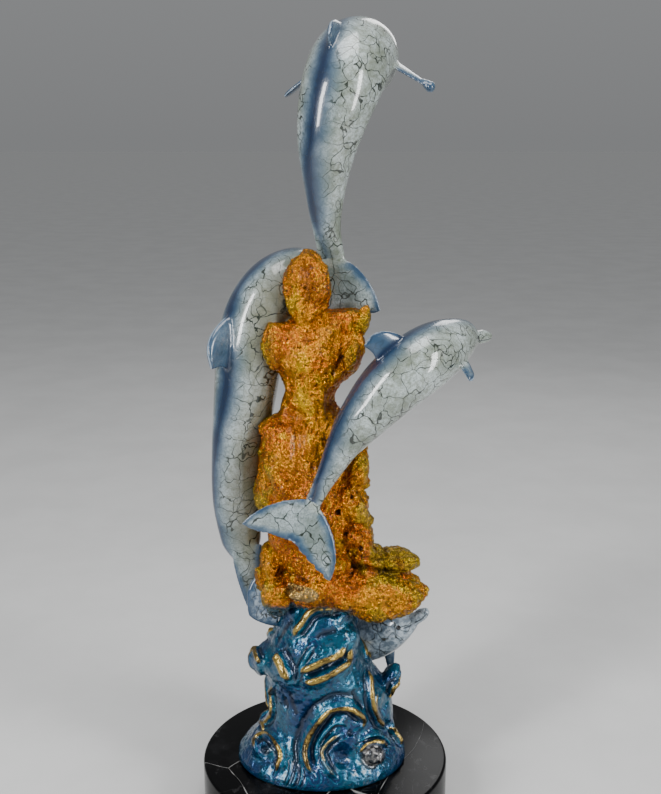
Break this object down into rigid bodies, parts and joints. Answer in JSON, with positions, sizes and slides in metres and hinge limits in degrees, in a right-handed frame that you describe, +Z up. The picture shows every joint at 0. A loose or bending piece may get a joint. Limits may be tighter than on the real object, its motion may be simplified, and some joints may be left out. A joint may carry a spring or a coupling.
{
  "type": "dolphin statue",
  "caption": "Enamelled cast bronze group of dolphins leaping round a coral rock on a curling wave, on a round marble disc.",
  "frame": {"origin": "centre of the marble disc's underside", "axes": "+Z up, -Y towards the front view, +X to the viewer's right"},
  "size_m": [0.3, 0.2762, 0.8061],
  "materials": {
    "dolphin_enamel": "glossy crackled pale enamel with blue backs and fin edges",
    "coral_enamel": "glossy pitted orange and yellow enamel",
    "wave_enamel": "glossy streaked blue enamel",
    "gold_patina": "rubbed gold highlights",
    "black_marble": "polished black with thin white veins"
  },
  "bodies": {
    "root": {"bronze_group": "dolphin_enamel", "marble_plinth": "black_marble"}
  },
  "joints": []
}
